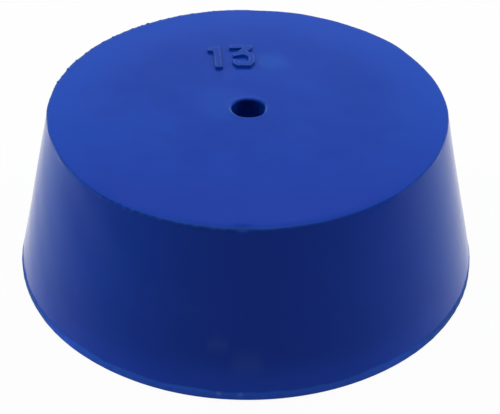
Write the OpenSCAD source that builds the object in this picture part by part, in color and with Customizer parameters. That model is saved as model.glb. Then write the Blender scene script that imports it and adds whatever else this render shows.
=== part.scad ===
// One-hole rubber stopper: a tapered plug, moulded in one piece.
// It stands on its large end, with the centre of that end at the origin and +Z up the hole.

/* [Plug] */
// Diameter of the large end, over its land
large_d = 68; // [62:0.5:90]
// Diameter of the small end
small_d = 57.5; // [30:0.5:60]
// Length from end to end
length = 25.4; // [12:0.1:60]

/* [Tube hole] */
// Diameter of the hole for a tube
hole_d = 4.8; // [3:0.1:20]
// Radius of the lip at each mouth of the hole
mouth_r = 0.3; // [0.1:0.05:1]

/* [Land around the large end] */
// Height of the straight land
land_h = 1.2; // [0.8:0.1:4]
// How far the land stands out from the foot of the taper
land_step = 0.2; // [0.05:0.05:0.8]

/* [Edges] */
// Radius of the edge where the land meets the large end
large_edge_r = 0.3; // [0.1:0.05:0.6]
// Radius of the edge where the taper meets the small end
small_edge_r = 0.25; // [0.1:0.05:1.5]

/* [Hidden] */

// Segments in a full turn
$fn = 180;

// Colour of the rubber
rubber_blue = [0.16, 0.28, 0.66];

large_r = large_d / 2;
small_r = small_d / 2;
hole_r = hole_d / 2;
taper_foot_r = large_r - land_step;
taper_foot_z = land_h + land_step;

// Corners of the half section, as [distance from the axis, height, edge radius],
// in order from the hole's lower mouth out to the land, up the taper and back to its upper mouth
SECTION = [
    [hole_r, 0, mouth_r],
    [large_r, 0, large_edge_r],
    [large_r, land_h, 0],
    [taper_foot_r, taper_foot_z, 0],
    [small_r, length, small_edge_r],
    [hole_r, length, mouth_r],
];

// The section is drawn from the edge of the small end, its only rounded corner that isn't square
small_edge = [small_r, length];

// Unit vector from one point towards another
function towards(from, to) = (to - from) / norm(to - from);

// Place of a corner, where counting past either end of the list carries on round the section
function corner(i) =
    let (c = SECTION[(i + len(SECTION)) % len(SECTION)])
    [c[0], c[1]] - small_edge;

// Unit vectors along the two edges that leave a corner
function edges(i) = [for (next = [i - 1, i + 1]) towards(corner(i), corner(next))];

// Half the angle between those edges
function half_angle(i) = acos(edges(i)[0] * edges(i)[1]) / 2;

// Points where a corner's rounding meets its edges
function tangent_points(i, r) = [for (edge = edges(i)) corner(i) + edge * r / tan(half_angle(i))];

// Centre of a corner's rounding
function rounding_centre(i, r) =
    let (bisector = towards([0, 0], edges(i)[0] + edges(i)[1]))
    corner(i) + bisector * r / sin(half_angle(i));

// Half section of the plug: each rounded corner is cut off between its tangent points,
// and a circle through those points fills it again
module half_section() {
    polygon([
        for (i = [0:len(SECTION) - 1])
            let (r = SECTION[i][2])
            each r > 0 ? tangent_points(i, r) : [corner(i)]
    ]);
    for (i = [0:len(SECTION) - 1])
        let (r = SECTION[i][2])
        if (r > 0)
            translate(rounding_centre(i, r))
                circle(r = r);
}

module stopper() {
    color(rubber_blue)
        rotate_extrude()
            translate(small_edge)
                half_section();
}

stopper();
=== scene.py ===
"""Looks of the one-hole rubber stopper: one moulded piece of blue rubber on a plain pale floor.

Sizes are in mm in the CAD frame, where the large end stands on z = 0 and the hole runs up +Z.
They become metres when a mesh, a lamp or the camera is made.
Angles round the plug are in degrees from +X towards +Y, so the side that faces the camera is at 270.
A name that ends in STRETCH holds part of the ring: the angle of its middle, and half its width.
A name that ends in BAND holds a band of values: where it sets in and over what width, then where it ends
and over what width.
A field is a value from 0 to 1 that each point of the skin carries, and that the rubber's look follows.
"""
import math

import bpy
import numpy as np
from mathutils import Matrix, Vector
from mathutils.geometry import delaunay_2d_cdt


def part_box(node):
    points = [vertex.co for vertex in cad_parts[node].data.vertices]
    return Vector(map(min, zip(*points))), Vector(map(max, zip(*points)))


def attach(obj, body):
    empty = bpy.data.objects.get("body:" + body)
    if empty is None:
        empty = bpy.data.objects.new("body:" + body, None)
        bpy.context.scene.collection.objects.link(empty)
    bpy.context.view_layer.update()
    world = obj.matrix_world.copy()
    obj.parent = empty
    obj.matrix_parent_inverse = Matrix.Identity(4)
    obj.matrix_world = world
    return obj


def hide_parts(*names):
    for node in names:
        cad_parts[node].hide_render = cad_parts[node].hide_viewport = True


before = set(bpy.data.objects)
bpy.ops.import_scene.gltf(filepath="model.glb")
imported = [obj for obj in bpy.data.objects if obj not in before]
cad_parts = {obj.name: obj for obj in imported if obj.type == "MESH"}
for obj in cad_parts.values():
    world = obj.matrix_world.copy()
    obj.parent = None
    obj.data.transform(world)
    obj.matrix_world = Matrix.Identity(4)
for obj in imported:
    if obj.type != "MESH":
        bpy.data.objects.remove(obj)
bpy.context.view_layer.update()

MM = 0.001
node_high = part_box("stopper")[1]

# ---- Sizes of the plug, as in the part's source ----
LARGE_R = node_high.x / MM
LENGTH = node_high.z / MM
SMALL_R = 28.75
HOLE_R = 2.4
LAND_H = 1.2
LAND_STEP = 0.2
# Roundings of the outer edges and of the hole's mouths
LARGE_EDGE_R = 0.3
SMALL_EDGE_R = 0.25
HOLE_EDGE_R = 0.3

# ---- Sizes that follow from them ----
TAPER_FOOT_R = LARGE_R - LAND_STEP
TAPER_FOOT_Z = LAND_H + LAND_STEP
TAPER_SLOPE = (TAPER_FOOT_R - SMALL_R) / (LENGTH - TAPER_FOOT_Z)
TAPER_ANGLE = math.degrees(math.atan(TAPER_SLOPE))
# The flat part of each end lies between the rounding of its outer edge and that of the hole's mouth
LARGE_FACE_R = LARGE_R - LARGE_EDGE_R
MOUTH_R = HOLE_R + HOLE_EDGE_R

# ---- Fineness of the mesh, and the seed of all its random waves ----
SIDE_COLUMNS = 1080
BORE_COLUMNS = 96
ROUNDING_STEPS = 5
PATCH_STEP = 0.05
SEED = 13


def rise(value, start, width):
    """0 up to start, 1 from start + width on, and an S-shaped rise between."""
    t = np.clip((value - start) / width, 0, 1)
    return t * t * (3 - 2 * t)


def fall(value, start, width):
    """1 up to start, 0 from start + width on, and an S-shaped fall between."""
    return 1 - rise(value, start, width)


def band(value, start, rise_width, end, fall_width):
    """1 in a band of values, with an S-shaped rise into it from start and a fall out of it from end."""
    return rise(value, start, rise_width) * fall(value, end, fall_width)


def window(angle, middle, half_width):
    """1 at the middle of a stretch of the ring, fading to 0 at its ends."""
    away = np.abs((angle - middle + 180) % 360 - 180)
    return fall(away, 0, half_width)


def level(angle, stretch, elsewhere, there):
    """One level in the middle of a stretch of the ring, fading to another one outside it."""
    return elsewhere + (there - elsewhere) * window(angle, *stretch)


def bulges(angle, places):
    """How far a ring strays outwards from a circle, from its bulges: middle, half width and height."""
    return sum(height * window(angle, middle, half_width) for middle, half_width, height in places)


def ring_noise(angle, seed, first, last, size=1):
    """Waves round a ring, from first to last to the turn. They close on themselves and spread by size."""
    rng = np.random.default_rng(SEED + seed)
    waves = np.arange(first, last + 1)
    phase = rng.uniform(0, 2 * math.pi, len(waves))
    weight = rng.normal(size=len(waves))
    turn = np.radians(np.asarray(angle, float))[..., None]
    total = np.cos(turn * waves + phase) @ weight
    return size * total / np.sqrt((weight ** 2).sum() / 2)


def plane_noise(x, y, seed, shortest, longest, count=14):
    """Waves of random heading and length, in mm, laid over a plane. They spread by about 1."""
    rng = np.random.default_rng(SEED + seed)
    total = np.zeros(np.shape(x))
    for _ in range(count):
        heading = rng.uniform(0, 2 * math.pi)
        length = rng.uniform(shortest, longest)
        phase = rng.uniform(0, 2 * math.pi)
        along = x * math.cos(heading) + y * math.sin(heading)
        total += np.cos(along * 2 * math.pi / length + phase)
    return total / math.sqrt(count / 2)


def arc(centre, radius, start, end):
    """Points of the half section, as rows of (r, z), along an arc. Angles count from +r towards +Z."""
    angle = np.radians(np.linspace(start, end, ROUNDING_STEPS + 1))
    return np.column_stack([centre[0] + radius * np.cos(angle), centre[1] + radius * np.sin(angle)])


def evenly(low, high, spacing):
    """Evenly spread values from low to high, about that far apart."""
    return np.linspace(low, high, round((high - low) / spacing) + 1)


def ring_plan(r, count):
    """Plan of a ring of evenly spread points."""
    turn = np.arange(count) * 2 * math.pi / count
    return np.column_stack([r * np.cos(turn), r * np.sin(turn)])


def round_the_axis(r, angle, z):
    """Points from their radius, angle and height."""
    turn = np.radians(angle)
    return np.stack([r * np.cos(turn), r * np.sin(turn), z], -1)


# ---- Soft spots of the rubber ----

# On the small end: x, y, half width, half depth and strength
SMUDGES = [(3.45, 13.2, 3.1, 2.7, 0.95), (-3.4, 1.4, 4.4, 5.6, 0.45)]
# A painted shadow in front of the 1
SHADOW_SPOTS = [(-4.5, 9.1, 1.2, 2.1, 0.2)]
# A paler streak that runs down across the front of the side: angle, height, half width, half height and
# strength
SIDE_PALE_STREAKS = [
    (250, 15, 8, 2, 0.025), (257, 13, 6, 2, 0.025), (263.5, 8.5, 3.4, 1.9, 0.11), (270.5, 5.8, 5.2, 2.4, 0.1),
]
# Share of a spot's reach that has its full strength
SPOT_CORE = 0.45


def in_spots(spots, across, along):
    """How much of the strongest of some soft spots each point has."""
    total = np.zeros(np.shape(across))
    for middle_across, middle_along, half_across, half_along, strength in spots:
        away = np.hypot((across - middle_across) / half_across, (along - middle_along) / half_along)
        total = np.maximum(total, strength * fall(away, SPOT_CORE, 1 - SPOT_CORE))
    return total


# The rubber is painted paler near the rims at the back, as painted light where more light falls, and a little
# paler round a place beside the numerals
BACK_LIGHT_FROM_R = 17
BACK_LIGHT_OVER_R = 11
BACK_LIGHT_FROM_Y = -24
BACK_LIGHT_OVER_Y = 34
PALE_PATCH_PLACE = (2, 11)
PALE_PATCH_REACH = 15
PALE_PATCH_SHARE = 0.4


def paler_and_back_lit(points):
    """How pale each point is painted: painted light near the rims at the back, and a paler patch beside the
    numerals.
    """
    x, y, _ = points.T
    outer_back = rise(np.hypot(x, y), BACK_LIGHT_FROM_R, BACK_LIGHT_OVER_R) * rise(y, BACK_LIGHT_FROM_Y, BACK_LIGHT_OVER_Y)
    by_numerals = fall(np.hypot(x - PALE_PATCH_PLACE[0], y - PALE_PATCH_PLACE[1]), 0, PALE_PATCH_REACH)
    return np.maximum(outer_back, PALE_PATCH_SHARE * by_numerals)


# ---- The skin: one closed mesh, added part by part ----

# The fields that each part gives for its own points. How far they are painted paler, with the painted back
# light, is worked out for all at the end
FIELDS = ("navy", "scuffed", "bloomed", "trimmed", "fresh", "smudged", "sheltered", "worn", "nicked")
# Plan points this close together count as one
TOUCHING = 1e-6


class Skin:
    """A mesh in the making: its points in mm, their fields and its faces, which all face outwards."""

    def __init__(self):
        self.points = []
        self.fields = {name: [] for name in FIELDS}
        self.faces = []
        self.count = 0

    def add(self, points, **fields):
        """Adds points with their fields, 0 unless given. Returns their numbers, in the points' own layout."""
        points = np.asarray(points, float)
        shape = points.shape[:-1]
        number = np.arange(self.count, self.count + int(np.prod(shape))).reshape(shape)
        self.points.append(points.reshape(-1, 3))
        for name, values in self.fields.items():
            values.append(np.broadcast_to(fields.get(name, 0.0), shape).reshape(-1))
        self.count += number.size
        return number

    def quads(self, grid):
        """Faces between the rows and columns of a grid of point numbers."""
        corners = (grid[:-1, :-1], grid[:-1, 1:], grid[1:, 1:], grid[1:, :-1])
        self.faces += np.stack(corners, -1).reshape(-1, 4).tolist()

    def tube(self, grid):
        """Faces between the rows of a grid whose last column meets its first."""
        self.quads(np.column_stack([grid, grid[:, 0]]))

    def fill(self, plan, number, keep, upwards):
        """Triangles between plan points that are already in the skin, where keep(their middles)."""
        _, _, faces, origins, _, _ = delaunay_2d_cdt([Vector(p) for p in plan.tolist()], [], [], 0, TOUCHING)
        source = np.array([origin[0] for origin in origins])
        triangles = source[np.array([face[:] for face in faces])]
        triangles = triangles[keep(plan[triangles].mean(axis=1))]
        if not upwards:
            triangles = triangles[:, ::-1]
        self.faces += number[triangles].tolist()

    def piece(self, name):
        """The finished object, smooth shaded, with a point attribute for each field."""
        points = np.concatenate(self.points)
        mesh = bpy.data.meshes.new(name)
        mesh.from_pydata((points * MM).tolist(), [], self.faces)
        mesh.validate()
        fields = {field: np.concatenate(values) for field, values in self.fields.items()}
        # Painted light near the back rims, and a paler patch beside the numerals
        fields["pale_patch_and_back_light"] = paler_and_back_lit(points)
        for field, values in fields.items():
            attribute = mesh.attributes.new(field, "FLOAT", "POINT")
            attribute.data.foreach_set("value", values.astype(np.float32))
        mesh.shade_smooth()
        made = bpy.data.objects.new(name, mesh)
        bpy.context.scene.collection.objects.link(made)
        return made


# ---- The outside: land, taper and the two outer edges ----

# The land's upper edge wanders below and above the land's height, and the taper begins over it
LAND_EDGE_DIP = 0.08
LAND_EDGE_LOWEST = LAND_H - 0.3
LAND_EDGE_HIGHEST = LAND_H + 0.1
LAND_EDGE_WIDTH = 0.3
# All along the back the land was trimmed away, by this share of its step
FLUSH_STRETCH = (85, 116)
FLUSH_SHARE = 0.85
FLUSH_SHARPNESS = 12
# The slight waves of the taper fade out this far below the small end, and the short ones turn as they rise
SIDE_WAVE_CLEAR = 3
SIDE_WAVE_TWIST = 2

# Rows of points up the side: their steps on the land and where it ends, up to this far over it, and their
# numbers on the taper and at the rim
LAND_ROW_STEP = 0.2
LAND_EDGE_ROW_STEP = 0.1
LAND_EDGE_ROWS_OVER = 0.7
TAPER_ROWS = 14
RIM_ROWS = 8

# The upper rim and the lip at its very top begin this far below the small end, and set in over this height
RIM_H = 0.7
RIM_FADE = 0.5
LIP_H = 0.42
LIP_FADE = 0.2
# The rim is ragged where it was cut: crumbs, which stand out and up, a torn flash, a ripple and a chip
CRUMB_STRETCH = (135, 60)
CRUMB_OUT = 0.04
CRUMB_UP = 0.03
TORN_STRETCH = (247, 28)
TORN_SIZE = 0.1
TORN_SHARE = 0.3
TORN_MOST = 2
FLASH_STRETCH = (290, 80)
FLASH_SIZE = 0.02
RIPPLE_STRETCH = (270, 90)
CHIP_STRETCH = (269, 3.2)
CHIP_SIZE = 0.16
# It has also rounded with wear, most at the front: how far back on the side, and how far down on the small
# end
RIM_WEAR_STRETCH = (272, 75)
RIM_BACK = 0.05
RIM_BACK_REACH = 0.9
RIM_DROP = 0.08
RIM_DROP_REACH = 0.3
FACE_DROP_REACH = 0.6
# And it strays from a circle, less and less towards this far below it: middle, half width and how far
RIM_BULGES = [
    (5, 30, 0.11), (41, 15, 0.24), (87, 12, -0.17), (150, 38, 0.13), (200, 20, -0.15), (230, 18, 0.12),
    (313, 20, 0.14),
]
RIM_BULGE_REACH = 10


def taper_r(z):
    """Radius of the tapered side at a height."""
    return SMALL_R + (LENGTH - z) * TAPER_SLOPE


# Where the small end's flat face meets the rounding of its rim
SMALL_FACE_R = taper_r(LENGTH - SMALL_EDGE_R) - SMALL_EDGE_R / math.cos(math.radians(TAPER_ANGLE))


def side_rows():
    """Heights of the rows on the side, close together where the land ends and near the small end."""
    first = LARGE_EDGE_R
    last = LENGTH - SMALL_EDGE_R + SMALL_EDGE_R * math.sin(math.radians(TAPER_ANGLE))
    fine_from, fine_to = LAND_EDGE_LOWEST, LAND_H + LAND_EDGE_ROWS_OVER
    stretches = [
        np.arange(first, fine_from, LAND_ROW_STEP),
        np.arange(fine_from, fine_to, LAND_EDGE_ROW_STEP),
        np.linspace(fine_to, last - RIM_H, TAPER_ROWS, endpoint=False),
        np.linspace(last - RIM_H, last, RIM_ROWS),
    ]
    return np.concatenate(stretches)


def land_edge(angle):
    """Height of the land's upper edge."""
    edge = LAND_H - LAND_EDGE_DIP + ring_noise(angle, seed=1, first=3, last=30, size=0.05)
    edge = edge + ring_noise(angle, seed=2, first=30, last=110, size=0.03)
    return np.clip(edge, LAND_EDGE_LOWEST, LAND_EDGE_HIGHEST)


def land_face_r(angle):
    """Radius of the land's face, where the mould's overflow was trimmed."""
    flush = np.clip(window(angle, *FLUSH_STRETCH) * FLUSH_SHARPNESS, 0, 1)
    face = LARGE_R - FLUSH_SHARE * LAND_STEP * flush
    face = face + ring_noise(angle, seed=3, first=2, last=14, size=0.03)
    return face + ring_noise(angle, seed=4, first=30, last=140, size=0.012)


def side_r(angle, z):
    """Radius of the land and of the taper above it."""
    wave = ring_noise(angle, seed=5, first=2, last=9, size=0.02)
    wave = wave + ring_noise(angle + SIDE_WAVE_TWIST * z, seed=6, first=8, last=30, size=0.016)
    wave = wave * rise(LENGTH - z, 0, SIDE_WAVE_CLEAR)
    above_land = rise(z, land_edge(angle), LAND_EDGE_WIDTH)
    return land_face_r(angle) * (1 - above_land) + (taper_r(z) + wave) * above_land


def side_profile(angle):
    """Radius and height of the rows of the foot, the side and the brow, before the rim is damaged."""
    across = np.ones(len(angle))
    foot = arc((LARGE_FACE_R, LARGE_EDGE_R), LARGE_EDGE_R, -90, 0)[:-1]
    foot_r = foot[:, :1] + (land_face_r(angle) - LARGE_R) * rise(foot[:, 1:], 0, LARGE_EDGE_R)
    brow = arc((SMALL_FACE_R, LENGTH - SMALL_EDGE_R), SMALL_EDGE_R, TAPER_ANGLE, 90)[1:]
    z = side_rows()[:, None] * across
    r = np.concatenate([foot_r, side_r(angle, z), brow[:, :1] * across])
    z = np.concatenate([foot[:, 1:] * across, z, brow[:, 1:] * across])
    return r, z


def rim_wear(angle):
    """How far the upper rim has rounded with wear."""
    return window(angle, *RIM_WEAR_STRETCH)


def damage_rim(angle, r, z, at_rim, at_lip):
    """Radius and height of the side's rows once the upper rim is ragged, chipped, rounded by wear and out of
    round.
    """
    crumbs = np.maximum(ring_noise(angle, seed=7, first=60, last=230), 0)
    crumbs = crumbs * level(angle, CRUMB_STRETCH, elsewhere=0.15, there=1.15)
    torn = np.clip(TORN_SHARE + ring_noise(angle, seed=9, first=70, last=150), 0, TORN_MOST)
    flash = TORN_SIZE * torn * window(angle, *TORN_STRETCH) + FLASH_SIZE * window(angle, *FLASH_STRETCH)
    ripple = level(angle, RIPPLE_STRETCH, elsewhere=0.02, there=0.04)
    ripple = ripple * ring_noise(angle, seed=8, first=8, last=40)
    chip = CHIP_SIZE * window(angle, *CHIP_STRETCH)

    new_r = r + (CRUMB_OUT * crumbs + ripple - chip) * at_rim + flash * at_lip
    new_r = new_r - RIM_BACK * rim_wear(angle) * rise(z, LENGTH - RIM_BACK_REACH, RIM_BACK_REACH)
    new_r = new_r + bulges(angle, RIM_BULGES) * rise(z, LENGTH - RIM_BULGE_REACH, RIM_BULGE_REACH)
    new_z = z - RIM_DROP * rim_wear(angle) * rise(z, LENGTH - RIM_DROP_REACH, RIM_DROP_REACH)
    new_z = new_z + CRUMB_UP * crumbs * at_rim - chip * at_lip
    return new_r, new_z


# The land is trimmed up to just below its edge, and painted pale at the front, as painted light from the
# floor, where that sets in steeply
TRIMMED_DIP = 0.05
TRIMMED_FADE = 0.55
LAND_LIGHT_STRETCH = (264, 72)
LAND_LIGHT_SHARPNESS = 2.6
LAND_LIGHT_FULL_STRETCH = (270, 40)
# The upper rim is trimmed too where it is ragged, and at its lip
RAGGED_STRETCH = (135, 70)
PALE_LIP_STRETCH = (266, 50)
PALE_LIP = 0.6
CHIP_PALE = 0.12
# The front is painted darker above this height, as painted shade where it faces away from the lamps, and
# paler below this one, as painted light from the floor
FRONT_SHADE_STRETCH = (276, 62)
FRONT_SHADE_FROM_Z = 2
FRONT_SHADE_OVER_Z = 4
FLOOR_LIGHT_STRETCH = (268, 65)
FLOOR_LIGHT_FROM_Z = 1
FLOOR_LIGHT_OVER_Z = 6
# A painted shade line runs under the lip, in a band of depths below the small end, and another at the floor
UNDER_LIP_BAND = (0.01, 0.06, 0.45, 0.25)
UNDER_LIP_STRETCH = (262, 95)
DEEP_SHADE_STRETCH = (265, 16)
FLOOR_SHADE = 0.6
FLOOR_SHADE_H = 0.35
# Pale nicks in the land: their angles, half width, height, half height and strength
NICK_ANGLES = (264, 269)
NICK_HALF_WIDTH = 0.9
NICK_Z = 1.05
NICK_HALF_H = 0.5
NICK_STRENGTH = 0.7
# The back and the flanks are painted greener, as a painted sheen, where the sine of their angle is above
# this, and the rim isn't
PAINTED_SHEEN_FROM_SINE = -0.72
PAINTED_SHEEN_OVER_SINE = 0.4
PAINTED_SHEEN_CLEAR = 0.3


def side_fields(angle, z, at_rim, at_lip):
    """The fields of the side's points."""
    below = LENGTH - z
    on_land = fall(z, land_edge(angle) - TRIMMED_DIP, TRIMMED_FADE)
    full_land_light = level(angle, LAND_LIGHT_FULL_STRETCH, elsewhere=0.85, there=1)
    ragged = at_rim * level(angle, RAGGED_STRETCH, elsewhere=0.12, there=0.52)
    pale_lip = PALE_LIP * at_lip * window(angle, *PALE_LIP_STRETCH)
    chipped = CHIP_PALE * at_rim * window(angle, *CHIP_STRETCH)
    scuffed = level(angle, FLOOR_LIGHT_STRETCH, elsewhere=0.35, there=1)
    under_lip = band(below, *UNDER_LIP_BAND) * window(angle, *UNDER_LIP_STRETCH)
    under_lip = under_lip * level(angle, DEEP_SHADE_STRETCH, elsewhere=0.1, there=0.4)
    nicks = sum(window(angle, place, NICK_HALF_WIDTH) for place in NICK_ANGLES)
    behind = rise(np.sin(np.radians(angle)), PAINTED_SHEEN_FROM_SINE, PAINTED_SHEEN_OVER_SINE)
    return {
        # Painted light from the floor, paler towards the foot of the front
        "scuffed": scuffed * fall(z, FLOOR_LIGHT_FROM_Z, FLOOR_LIGHT_OVER_Z),
        "trimmed": np.maximum(on_land, np.maximum(ragged, pale_lip)),
        # Painted light from the floor on the front of the land
        "fresh": on_land * np.clip(LAND_LIGHT_SHARPNESS * window(angle, *LAND_LIGHT_STRETCH), 0, full_land_light),
        # Painted shade on the front, which faces away from the lamps
        "navy": window(angle, *FRONT_SHADE_STRETCH) * rise(z, FRONT_SHADE_FROM_Z, FRONT_SHADE_OVER_Z),
        # Painted shade under the lip and along the floor
        "sheltered": np.maximum(under_lip, FLOOR_SHADE * fall(z, 0, FLOOR_SHADE_H)),
        # Wear at the chip, and paler streaks down the front
        "worn": np.maximum(chipped, in_spots(SIDE_PALE_STREAKS, angle, z)),
        "nicked": NICK_STRENGTH * nicks * fall(np.abs(z - NICK_Z), 0, NICK_HALF_H),
        # Painted sheen on the back and the flanks
        "bloomed": behind * rise(below, 0, PAINTED_SHEEN_CLEAR),
    }


def build_side(skin):
    """Adds the outside, and returns the rings at its foot and at its brow."""
    angle = np.arange(SIDE_COLUMNS) * 360 / SIDE_COLUMNS
    r, z = side_profile(angle)
    at_rim = rise(z, LENGTH - RIM_H, RIM_FADE)
    at_lip = rise(z, LENGTH - LIP_H, LIP_FADE)
    r, z = damage_rim(angle, r, z, at_rim, at_lip)
    grid = skin.add(round_the_axis(r, angle, z), **side_fields(angle, z, at_rim, at_lip))
    skin.tube(grid)
    return grid[0], grid[-1]


# ---- The hole ----

# The hole's mouth at the small end was punched askew: how far it is shifted, its oval and its bulges
MOUTH_SHIFT = (0.11, 0.17)
MOUTH_OVAL = 0.08
MOUTH_BULGES = [
    (25, 30, 0.1), (318, 25, 0.1), (150, 25, -0.08), (182, 28, -0.16), (212, 30, -0.06), (0, 28, -0.1),
]
# That fades out over this depth
MOUTH_DEPTH = 5
# It has a raised lip, highest at the left
HIGH_LIP_STRETCH = (205, 80)
# Its edge is painted pale along two stretches, down to this depth, as a painted highlight
MOUTH_HIGHLIGHT_STRETCHES = [(190, 55), (0, 40)]
MOUTH_HIGHLIGHT = 0.3
MOUTH_HIGHLIGHT_H = 0.25
# The wall is painted in shade in a band of depths, clear of the lower mouth, and painted paler below its
# edge, as painted light deep in the hole
MOUTH_SHADE = 0.75
MOUTH_SHADE_BAND = (0.04, 0.16, 0.8, 1.4)
MOUTH_SHADE_CLEAR = 2
BORE_PAINTED_LIGHT = 0.8
BORE_PAINTED_LIGHT_OVER = 0.6
BORE_ROWS = 20


def mouth_wander(angle):
    """How far the hole's edge at the small end stands off its true circle."""
    turn = np.radians(angle)
    shift = MOUTH_SHIFT[0] * np.cos(turn) + MOUTH_SHIFT[1] * np.sin(turn)
    oval = MOUTH_OVAL * np.cos(2 * turn)
    ripple = ring_noise(angle, seed=12, first=8, last=24, size=0.015)
    return shift + oval + bulges(angle, MOUTH_BULGES) + ripple


def mouth_lip(angle):
    """Height of the raised lip round the hole."""
    return level(angle, HIGH_LIP_STRETCH, elsewhere=0.02, there=0.07)


def build_bore(skin):
    """Adds the wall of the hole and its two mouths. Returns the rings that the end faces join."""
    angle = np.arange(BORE_COLUMNS) * 360 / BORE_COLUMNS
    upper = arc((MOUTH_R, LENGTH - HOLE_EDGE_R), HOLE_EDGE_R, 90, 180)
    lower = arc((MOUTH_R, HOLE_EDGE_R), HOLE_EDGE_R, 180, 270)
    between = np.linspace(LENGTH - HOLE_EDGE_R, HOLE_EDGE_R, BORE_ROWS)[1:-1]
    wall = np.column_stack([np.full(len(between), HOLE_R), between])
    rows = np.concatenate([upper, wall, lower])
    r, z = rows[:, :1], rows[:, 1:]

    askew = rise(z, LENGTH - MOUTH_DEPTH, MOUTH_DEPTH)
    r = r + ring_noise(angle, seed=11, first=2, last=6, size=0.02) + mouth_wander(angle) * askew
    z = z + mouth_lip(angle) * rise(z, LENGTH - HOLE_EDGE_R, HOLE_EDGE_R)

    below = LENGTH - z
    mouth_highlight = sum(window(angle, *stretch) for stretch in MOUTH_HIGHLIGHT_STRETCHES)
    grid = skin.add(
        round_the_axis(r, angle, z),
        # Painted shade just inside the mouth
        sheltered=MOUTH_SHADE * band(below, *MOUTH_SHADE_BAND) * rise(z, 0, MOUTH_SHADE_CLEAR),
        # Painted highlight along the mouth's edge
        worn=MOUTH_HIGHLIGHT * mouth_highlight * fall(below, 0, MOUTH_HIGHLIGHT_H),
        # Painted light deeper in the hole
        bloomed=BORE_PAINTED_LIGHT * rise(below, 0, BORE_PAINTED_LIGHT_OVER),
    )
    skin.tube(grid)
    return grid[0], grid[-1]


# ---- The raised numerals of the trade size ----

NUMERAL_H = 0.42
# Each wall runs from this far inside the numeral's outline to this far outside it
NUMERAL_EDGE_IN = 0.03
NUMERAL_FOOT_OUT = 0.14
ONE_PLACE = (-6.08, 10.6)
ONE_LEAN = 3.5
ONE = [
    (1.26, 0.3), (1.45, 0.08), (2.1, 0.08), (2.34, 0.3), (2.1, 6), (1.55, 6), (0.3, 5.35), (0.3, 4.75),
    (1.14, 4.65),
]
THREE_PLACE = (-2.9, 11.12)
THREE = [
    (0.1, 6), (3.53, 6), (3.5, 5.15), (2.75, 4.2), (3.6, 3.5), (4.0, 2.3), (3.9, 1.15), (3.3, 0.08),
    (1.28, 0.08), (0.74, 0.8), (0.58, 1.9), (1.2, 1.9), (1.7, 1.1), (2.75, 1.1), (3.05, 1.7), (2.95, 2.65),
    (2.55, 3.1), (2.05, 3.22), (1.2, 2.92), (0.72, 2.7), (0.6, 3.5), (1.1, 3.8), (2.15, 5.2), (0.06, 5.02),
]
# How often the outlines' corners are softened
NUMERAL_SOFTENING = 4
# Their looks go by the distance from the outline, above zero outside it: a painted shade line round the foot,
# painted shade on some walls, bloom on all of them, and an uneven painted highlight along the top edge
LEE_BAND = (0.02, 0.08, 0.14, 0.22)
LEE_SHADE = 0.5
WALL_SHADE_BAND = (-0.06, 0.06, 0.1, 0.15)
WALL_BAND = (-0.05, 0.05, 0.04, 0.06)
WALL_BLOOM = 0.8
EDGE_HIGHLIGHT_PLACE = -0.13
EDGE_HIGHLIGHT_HALF = 0.11
EDGE_HIGHLIGHT = 0.4
EDGE_HIGHLIGHT_LEVEL = 0.8
EDGE_HIGHLIGHT_SPREAD = 0.35
EDGE_HIGHLIGHT_LOWEST = 0.2
EDGE_HIGHLIGHT_HIGHEST = 1.3
# Their tops are a little darkened with the painted shade tint and a little bloomed
TOP_SHADE = 0.2
TOP_BLOOM = 0.25
# How much painted shade the walls get that slant, and the sides of the 1 and of the 3
SLANTING_SHADE = 0.6
ONE_SIDE_SHADE = 0.75
THREE_SIDE_SHADE = 0.3
# Fine part of the small end that carries them, from its left front corner to its right back one
PATCH_LOW = (-6.6, 10.0)
PATCH_HIGH = (1.9, 17.6)


def lean(outline, degrees, place):
    """An outline leaned to the left and moved to its place."""
    slope = math.tan(math.radians(degrees))
    return [(x - y * slope + place[0], y + place[1]) for x, y in outline]


def signed_distance(outline, x, y):
    """Distance of each point from a closed outline, below zero inside it."""
    inside = np.zeros(x.shape, bool)
    nearest = np.full(x.shape, np.inf)
    for (ax, ay), (bx, by) in zip(outline, outline[1:] + outline[:1]):
        run, rise_y = bx - ax, by - ay
        along = np.clip(((x - ax) * run + (y - ay) * rise_y) / (run * run + rise_y * rise_y), 0, 1)
        nearest = np.minimum(nearest, np.hypot(x - ax - along * run, y - ay - along * rise_y))
        if rise_y:
            inside ^= ((ay > y) != (by > y)) & (x < ax + (y - ay) * run / rise_y)
    return np.where(inside, -nearest, nearest)


def soften(grid, times):
    """A grid of values averaged with its neighbours, which rounds the corners of an outline."""
    for _ in range(times):
        for axis in (0, 1):
            grid = (np.roll(grid, 1, axis) + 2 * grid + np.roll(grid, -1, axis)) / 4
    return grid


def numeral_distance(x, y):
    """Distance of each point of a fine grid from the numerals' outlines, below zero inside them."""
    one = signed_distance(lean(ONE, ONE_LEAN, ONE_PLACE), x, y)
    three = signed_distance(lean(THREE, 0, THREE_PLACE), x, y)
    return soften(np.minimum(one, three), NUMERAL_SOFTENING)


def painted_wall_shade(x, away):
    """Painted shade on the walls that face the front at a slant, and on those that face sideways."""
    outwards_y, outwards_x = np.gradient(away, PATCH_STEP)
    to_a_side = np.abs(outwards_x)
    slanting = rise(to_a_side, start=0.2, width=0.3) * rise(-outwards_y, start=0, width=0.5)
    sideways = rise(to_a_side, start=0.7, width=0.25)
    side_shade = np.where(x < THREE_PLACE[0], ONE_SIDE_SHADE, THREE_SIDE_SHADE)
    return np.maximum(SLANTING_SHADE * slanting, side_shade * sideways) * band(away, *WALL_SHADE_BAND)


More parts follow.
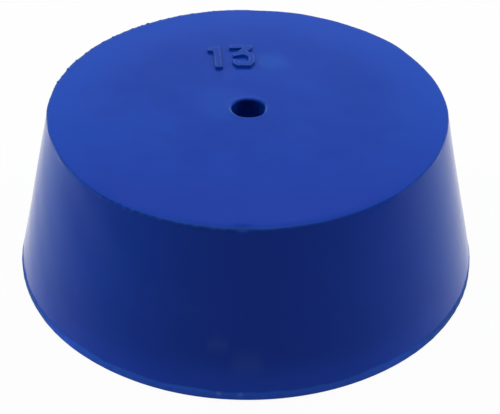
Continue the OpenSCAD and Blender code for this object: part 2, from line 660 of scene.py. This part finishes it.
def numeral_fields(x, y, away, crown):
    """The fields of the points on and round the numerals."""
    in_their_lee = LEE_SHADE * band(away, *LEE_BAND)
    tops_and_shadow = np.maximum(TOP_SHADE * crown, in_spots(SHADOW_SPOTS, x, y))
    edge_highlight_level = EDGE_HIGHLIGHT_LEVEL + EDGE_HIGHLIGHT_SPREAD * plane_noise(x, y, seed=22, shortest=0.8, longest=3)
    edge_highlight_level = np.clip(edge_highlight_level, EDGE_HIGHLIGHT_LOWEST, EDGE_HIGHLIGHT_HIGHEST)
    at_edge = fall(np.abs(away - EDGE_HIGHLIGHT_PLACE), 0, EDGE_HIGHLIGHT_HALF)
    return {
        "smudged": in_spots(SMUDGES, x, y),
        # Painted shade round the feet and on some walls, a painted shadow in front of the 1, and darker tops
        "sheltered": np.maximum(np.maximum(in_their_lee, painted_wall_shade(x, away)), tops_and_shadow),
        # Painted highlight along the top edges
        "worn": EDGE_HIGHLIGHT * edge_highlight_level * at_edge,
        "bloomed": np.maximum(WALL_BLOOM * band(away, *WALL_BAND), TOP_BLOOM * crown),
    }


def build_patch(skin):
    """Adds the fine grid that holds the numerals. Returns the plan and numbers of its border."""
    across, along = (evenly(low, high, PATCH_STEP) for low, high in zip(PATCH_LOW, PATCH_HIGH))
    x, y = np.meshgrid(across, along)
    away = numeral_distance(x, y)
    crown = fall(away, -NUMERAL_EDGE_IN, NUMERAL_EDGE_IN + NUMERAL_FOOT_OUT)
    z = LENGTH + face_wave(x, y) + NUMERAL_H * crown
    grid = skin.add(np.stack([x, y, z], -1), **numeral_fields(x, y, away, crown))
    skin.quads(grid)
    border = np.ones(grid.shape, bool)
    border[1:-1, 1:-1] = False
    return np.stack([x, y], -1)[border], grid[border]


# ---- The end faces ----

# The small end's slight waves, flat at its rim and round the hole
FACE_WAVE = 0.012
FACE_WAVE_MARGIN = 0.5
FACE_WAVE_FADE = 2
# It follows the hole's edge where that wanders, out to this far from it, and its lip out to this far
FOLLOW_EDGE = 1.6
FOLLOW_LIP = 0.7
# It is painted darker towards the front, as painted shade
TOP_FRONT_SHADE = 0.7
TOP_FRONT_SHADE_FROM = 12
TOP_FRONT_SHADE_OVER = 12

# Rings of points are finest at a face's inner and outer edge, and grow coarser by a share of the way off.
# The last one keeps clear of the outer edge
FINEST_INNER = 0.2
FINEST_OUTER = 0.25
RING_GROWTH = 0.35
RING_CLEAR = 0.2
SMALL_END_COARSEST = 1.8
LARGE_END_COARSEST = 2.4
# Frames round the numerals' patch: each is coarser than the one inside it, up to a limit
FRAME_GROWTH = 1.6
FRAME_GAP = 1.2
FRAME_COARSEST = 0.9
FRAME_CLEAR = 0.7


def face_wave(x, y):
    """How far the small end stands off a true plane."""
    r = np.hypot(x, y)
    clear = rise(SMALL_R - FACE_WAVE_MARGIN - r, 0, FACE_WAVE_FADE) * rise(r, MOUTH_R, FACE_WAVE_FADE)
    return FACE_WAVE * plane_noise(x, y, seed=21, shortest=7, longest=22) * clear


def off_patch(plan):
    """How far outside the numerals' patch each plan point is, counted square to its sides."""
    middle = (np.array(PATCH_LOW) + PATCH_HIGH) / 2
    half = (np.array(PATCH_HIGH) - PATCH_LOW) / 2
    return (np.abs(plan - middle) - half).max(axis=-1)


def rings_between(inner, outer, coarsest):
    """Plan points of a face on rings, fine at its inner and outer edge and coarser between them."""
    rings = []
    r = inner
    while True:
        from_inner = FINEST_INNER + RING_GROWTH * (r - inner)
        from_outer = FINEST_OUTER + RING_GROWTH * (outer - r)
        spacing = min(from_inner, from_outer, coarsest)
        r += spacing
        if r > outer - RING_CLEAR:
            return np.concatenate(rings)
        rings.append(ring_plan(r, round(2 * math.pi * r / max(spacing, FINEST_OUTER))))


def frames_round_patch():
    """Plan points on frames round the numerals' patch, and how far from it the rings may begin."""
    points = []
    off = 0.0
    spacing = PATCH_STEP
    while spacing < FRAME_COARSEST:
        off += spacing * FRAME_GAP
        spacing *= FRAME_GROWTH
        low, high = np.array(PATCH_LOW) - off, np.array(PATCH_HIGH) + off
        across = evenly(low[0], high[0], spacing)
        along = evenly(low[1], high[1], spacing)[1:-1]
        points += [(x, y) for x in across for y in (low[1], high[1])]
        points += [(x, y) for y in along for x in (low[0], high[0])]
    return np.array(points), off + spacing * FRAME_CLEAR


def small_end_points(plan):
    """The small end's points over some plan points, with the hole's askew edge and lip and the rim's wear."""
    angle = np.degrees(np.arctan2(plan[:, 1], plan[:, 0]))
    r = np.hypot(*plan.T)
    stretch = 1 + mouth_wander(angle) * fall(r - MOUTH_R, 0, FOLLOW_EDGE) / r
    lip = mouth_lip(angle) * fall(r - MOUTH_R, 0, FOLLOW_LIP)
    drop = RIM_DROP * rim_wear(angle) * rise(r, SMALL_FACE_R - FACE_DROP_REACH, FACE_DROP_REACH)
    z = LENGTH + face_wave(*plan.T) + lip - drop
    return np.column_stack([plan * stretch[:, None], z])


def build_small_end(skin, rim, mouth):
    """Adds the upper face between the rim, the hole's mouth and the numerals."""
    border_plan, border = build_patch(skin)
    frames, reach = frames_round_patch()
    rings = rings_between(MOUTH_R, SMALL_FACE_R, SMALL_END_COARSEST)
    loose = np.concatenate([rings[off_patch(rings) > reach], frames])
    number = skin.add(
        small_end_points(loose),
        # Painted shade towards the front
        navy=TOP_FRONT_SHADE * rise(-loose[:, 1], TOP_FRONT_SHADE_FROM, TOP_FRONT_SHADE_OVER),
        smudged=in_spots(SMUDGES, *loose.T),
        # Painted shadow in front of the 1
        sheltered=in_spots(SHADOW_SPOTS, *loose.T),
    )

    def off_hole_and_patch(middle):
        return (np.hypot(*middle.T) > MOUTH_R) & (off_patch(middle) > TOUCHING)

    plan = [ring_plan(SMALL_FACE_R, SIDE_COLUMNS), ring_plan(MOUTH_R, BORE_COLUMNS), border_plan, loose]
    numbers = np.concatenate([rim, mouth, border, number])
    skin.fill(np.concatenate(plan), numbers, off_hole_and_patch, upwards=True)


def build_large_end(skin, rim, mouth):
    """Adds the lower face between the rim and the hole's mouth."""
    loose = rings_between(MOUTH_R, LARGE_FACE_R, LARGE_END_COARSEST)
    number = skin.add(np.column_stack([loose, np.zeros(len(loose))]))

    def off_hole(middle):
        return np.hypot(*middle.T) > MOUTH_R

    plan = [ring_plan(LARGE_FACE_R, SIDE_COLUMNS), ring_plan(MOUTH_R, BORE_COLUMNS), loose]
    skin.fill(np.concatenate(plan), np.concatenate([rim, mouth, number]), off_hole, upwards=False)


def make_stopper():
    """The whole plug as one closed skin."""
    skin = Skin()
    lower_rim, upper_rim = build_side(skin)
    upper_mouth, lower_mouth = build_bore(skin)
    build_small_end(skin, upper_rim, upper_mouth)
    build_large_end(skin, lower_rim, lower_mouth)
    return skin.piece("stopper_moulding")


# ---- The rubber ----

# What each field turns the rubber towards, and how far at most. A later one covers an earlier one. Several of
# them paint light, shade, sheen and highlights
TINTS = [
    # Painted light at the back, and a paler patch beside the numerals
    ("pale_patch_and_back_light", 1, (0.003, 0.057, 0.440, 1)),
    # Painted shade on the front
    ("navy", 1, (0.0055, 0.0345, 0.340, 1)),
    # Bloom on the numerals, painted sheen on the back and the flanks, and painted light in the hole
    ("bloomed", 0.65, (0.003, 0.078, 0.420, 1)),
    # Painted light from the floor on the lower front
    ("scuffed", 1, (0.012, 0.058, 0.500, 1)),
    ("trimmed", 0.85, (0.014, 0.068, 0.235, 1)),
    # Painted light from the floor on the land
    ("fresh", 1, (0.030, 0.120, 0.700, 1)),
    ("smudged", 1, (0.0055, 0.065, 0.425, 1)),
    # Painted shade
    ("sheltered", 1, (0.001, 0.024, 0.200, 1)),
    # Wear at the chip and paler streaks, and painted highlights on the numerals' and the mouth's edges
    ("worn", 1, (0.080, 0.160, 0.440, 1)),
    ("nicked", 1, (0.120, 0.250, 0.800, 1)),
]
# Its own blue lies between two tones, mixed by clouds and mottling. Each has its size and its range of noise
RUBBER_DEEP = (0.001, 0.036, 0.342, 1)
RUBBER_PALE = (0.002, 0.049, 0.402, 1)
CLOUD_SIZE = 18
CLOUD_RANGE = (0.35, 0.65)
MOTTLE_SIZE = 4
MOTTLE_RANGE = (0.3, 0.7)
CLOUD_SHARE = 0.5
# The mottling and the grain also show as relief
MOTTLE_DEPTH = 0.01
GRAIN_SIZE = 0.22
GRAIN_DEPTH = 0.006
RUBBER_IOR = 1.22
RUBBER_SHEEN_TINT = (0.4, 0.5, 0.95, 1)
# Roughness of the moulded rubber, from its deep spots to its pale ones, and what trimming adds
SMOOTHEST = 0.12
ROUGHEST = 0.17
TRIMMED_ROUGHER = 0.5


def new_material(name):
    """An empty node material and its tree."""
    material = bpy.data.materials.new(name)
    material.use_nodes = True
    material.node_tree.nodes.clear()
    return material, material.node_tree


def plug_in(tree, socket, value):
    """Links a socket to another node's output, or sets it where the value is a plain one."""
    if isinstance(value, bpy.types.NodeSocket):
        tree.links.new(value, socket)
    else:
        socket.default_value = value


def noise(tree, place, size, detail):
    """Noise whose spots are about size mm across."""
    made = tree.nodes.new("ShaderNodeTexNoise")
    tree.links.new(place, made.inputs["Vector"])
    made.inputs["Scale"].default_value = 1 / (size * MM)
    made.inputs["Detail"].default_value = detail
    return made.outputs["Fac"]


def field(tree, name):
    """One of the values that the skin carries point by point."""
    made = tree.nodes.new("ShaderNodeAttribute")
    made.attribute_name = name
    return made.outputs["Fac"]


def spread(tree, value, low, high, to_low=0.0, to_high=1.0):
    """A value mapped from low..high to to_low..to_high, and held there past the ends."""
    made = tree.nodes.new("ShaderNodeMapRange")
    plug_in(tree, made.inputs["Value"], value)
    made.inputs["From Min"].default_value = low
    made.inputs["From Max"].default_value = high
    made.inputs["To Min"].default_value = to_low
    made.inputs["To Max"].default_value = to_high
    return made.outputs["Result"]


def maths(tree, operation, first, second):
    """Two values put together by a Math node."""
    made = tree.nodes.new("ShaderNodeMath")
    made.operation = operation
    plug_in(tree, made.inputs[0], first)
    plug_in(tree, made.inputs[1], second)
    return made.outputs["Value"]


def blend_colour(tree, factor, first, second):
    """Two colours blended by a factor."""
    made = tree.nodes.new("ShaderNodeMix")
    made.data_type = "RGBA"
    plug_in(tree, made.inputs["Factor"], factor)
    plug_in(tree, made.inputs["A"], first)
    plug_in(tree, made.inputs["B"], second)
    return made.outputs["Result"]


def bump(tree, height, depth, below=None):
    """Bump that is depth mm deep, laid over another bump where there is one."""
    made = tree.nodes.new("ShaderNodeBump")
    made.inputs["Distance"].default_value = depth * MM
    tree.links.new(height, made.inputs["Height"])
    if below:
        tree.links.new(below, made.inputs["Normal"])
    return made.outputs["Normal"]


def rubber_colour(tree, place, mottle):
    """The rubber's colour: clouds and mottling of its own blue, tinted by the skin's fields, several of which
    paint light and shade.
    """
    cloud = spread(tree, noise(tree, place, CLOUD_SIZE, detail=3), *CLOUD_RANGE)
    clouds = maths(tree, "MULTIPLY", cloud, CLOUD_SHARE)
    mottling = maths(tree, "MULTIPLY", mottle, 1 - CLOUD_SHARE)
    colour = blend_colour(tree, maths(tree, "ADD", clouds, mottling), RUBBER_DEEP, RUBBER_PALE)
    for name, most, tint in TINTS:
        share = maths(tree, "MULTIPLY", field(tree, name), most)
        colour = blend_colour(tree, share, colour, tint)
    return colour


def rubber_material():
    """Moulded rubber: satin, faintly mottled, finely grained, and duller where it was trimmed."""
    material, tree = new_material("moulded_rubber")
    place = tree.nodes.new("ShaderNodeTexCoord").outputs["Object"]
    mottle = spread(tree, noise(tree, place, MOTTLE_SIZE, detail=3), *MOTTLE_RANGE)
    grain = noise(tree, place, GRAIN_SIZE, detail=2)
    moulded = spread(tree, mottle, 0, 1, SMOOTHEST, ROUGHEST)
    trimmed = maths(tree, "MULTIPLY", field(tree, "trimmed"), TRIMMED_ROUGHER)
    relief = bump(tree, grain, GRAIN_DEPTH, bump(tree, mottle, MOTTLE_DEPTH))

    rubber = tree.nodes.new("ShaderNodeBsdfPrincipled")
    rubber.inputs["IOR"].default_value = RUBBER_IOR
    rubber.inputs["Specular Tint"].default_value = RUBBER_SHEEN_TINT
    tree.links.new(rubber_colour(tree, place, mottle), rubber.inputs["Base Color"])
    tree.links.new(maths(tree, "ADD", moulded, trimmed), rubber.inputs["Roughness"])
    tree.links.new(relief, rubber.inputs["Normal"])
    output = tree.nodes.new("ShaderNodeOutputMaterial")
    tree.links.new(rubber.outputs["BSDF"], output.inputs["Surface"])
    return material


# ---- Floor and surroundings ----

FLOOR_HALF = 3000
FLOOR_DROP = 0.02
FLOOR_COLOUR = (0.8, 0.8, 0.8, 1)
# Share of the floor that is flat white where it is seen. The rest of it takes the shadow
FLOOR_WHITE_SHARE = 0.95
WORLD_GREY = 0.02


def is_seen(tree):
    """1 for rays that see a surface, straight or by reflection, and 0 for the light that it sheds."""
    ray = tree.nodes.new("ShaderNodeLightPath").outputs
    seen = maths(tree, "MAXIMUM", ray["Is Camera Ray"], ray["Is Glossy Ray"])
    return maths(tree, "MAXIMUM", seen, ray["Is Transmission Ray"])


def floor_material():
    """Pale and matt, with flat white over it where it is seen."""
    material, tree = new_material("pale_floor")
    matt = tree.nodes.new("ShaderNodeBsdfDiffuse")
    matt.inputs["Color"].default_value = FLOOR_COLOUR
    white = tree.nodes.new("ShaderNodeEmission")
    blend = tree.nodes.new("ShaderNodeMixShader")
    tree.links.new(maths(tree, "MULTIPLY", is_seen(tree), FLOOR_WHITE_SHARE), blend.inputs["Fac"])
    tree.links.new(matt.outputs["BSDF"], blend.inputs[1])
    tree.links.new(white.outputs["Emission"], blend.inputs[2])
    output = tree.nodes.new("ShaderNodeOutputMaterial")
    tree.links.new(blend.outputs["Shader"], output.inputs["Surface"])
    return material


def make_floor():
    """A plain square floor just under the plug."""
    mesh = bpy.data.meshes.new("floor")
    corners = [(-1, -1), (1, -1), (1, 1), (-1, 1)]
    half = FLOOR_HALF * MM
    mesh.from_pydata([(x * half, y * half, -FLOOR_DROP * MM) for x, y in corners], [], [(0, 1, 2, 3)])
    floor = bpy.data.objects.new("floor", mesh)
    bpy.context.scene.collection.objects.link(floor)
    mesh.materials.append(floor_material())


def make_world():
    """White where it is seen, straight or by reflection, and a dim grey room as a light."""
    world = bpy.data.worlds.new("studio")
    world.use_nodes = True
    bpy.context.scene.world = world
    tree = world.node_tree
    tree.nodes.clear()
    room = tree.nodes.new("ShaderNodeBackground")
    tree.links.new(spread(tree, is_seen(tree), 0, 1, WORLD_GREY, 1), room.inputs["Strength"])
    room.inputs["Color"].default_value = (1, 1, 1, 1)
    output = tree.nodes.new("ShaderNodeOutputWorld")
    tree.links.new(room.outputs["Background"], output.inputs["Surface"])


# ---- Lamps and camera ----

# Soft boxes: name, place, width, height and watts
LAMPS = [
    ("overhead", (0, 100, 1200), 900, 900, 7.9),
    ("back", (0, 1200, 650), 1600, 900, 4.4),
    ("left", (-900, 300, 450), 700, 800, 6.8),
    ("right", (880, 380, 450), 700, 800, 6.3),
]
# The photograph's view, found from the ellipses of the two ends and the slope of the side.
# The camera looks at the middle of the large end from this far, then is moved right and up and rolled
CAMERA_DISTANCE = 253.47
CAMERA_ELEVATION = 36.405
CAMERA_ROLL = 0.504
CAMERA_RIGHT = 0.513
CAMERA_UP = 6.293
# Width and focal length of the photograph, in its own pixels
PHOTO_WIDTH = 500
PHOTO_FOCAL = 1656.8
SENSOR_WIDTH = 36
CLIP_NEAR = 10
CLIP_FAR = 20000


def make_lamp(name, place, width, height, watts):
    """A soft box that faces the middle of the plug. Gloss shows the white room, not the box."""
    light = bpy.data.lights.new(name, "AREA")
    light.shape = "RECTANGLE"
    light.size = width * MM
    light.size_y = height * MM
    light.energy = watts
    lamp = bpy.data.objects.new(name, light)
    bpy.context.scene.collection.objects.link(lamp)
    lamp.visible_glossy = False
    lamp.location = Vector(place) * MM
    towards = Vector((0, 0, LENGTH / 2)) * MM - lamp.location
    lamp.rotation_euler = towards.to_track_quat("-Z", "Y").to_euler()


def make_camera():
    """The camera at the photograph's viewing angle."""
    elevation, roll = math.radians(CAMERA_ELEVATION), math.radians(CAMERA_ROLL)
    forward = Vector((0, math.cos(elevation), -math.sin(elevation)))
    up = Vector((0, math.sin(elevation), math.cos(elevation)))
    right = Vector((1, 0, 0))
    place = (-forward * CAMERA_DISTANCE + right * CAMERA_RIGHT + up * CAMERA_UP) * MM
    rolled_right = right * math.cos(roll) + up * math.sin(roll)
    rolled_up = up * math.cos(roll) - right * math.sin(roll)

    camera = bpy.data.objects.new("camera", bpy.data.cameras.new("camera"))
    bpy.context.scene.collection.objects.link(camera)
    turned = Matrix((rolled_right, rolled_up, -forward)).transposed().to_4x4()
    camera.matrix_world = Matrix.Translation(place) @ turned
    camera.data.sensor_width = SENSOR_WIDTH
    camera.data.lens = PHOTO_FOCAL * SENSOR_WIDTH / PHOTO_WIDTH
    camera.data.clip_start = CLIP_NEAR * MM
    camera.data.clip_end = CLIP_FAR * MM
    bpy.context.scene.camera = camera


stopper = make_stopper()
stopper.data.materials.append(rubber_material())
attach(stopper, "root")
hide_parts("stopper")

make_floor()
make_world()
for lamp in LAMPS:
    make_lamp(*lamp)
make_camera()
bpy.context.scene.view_settings.view_transform = "Standard"
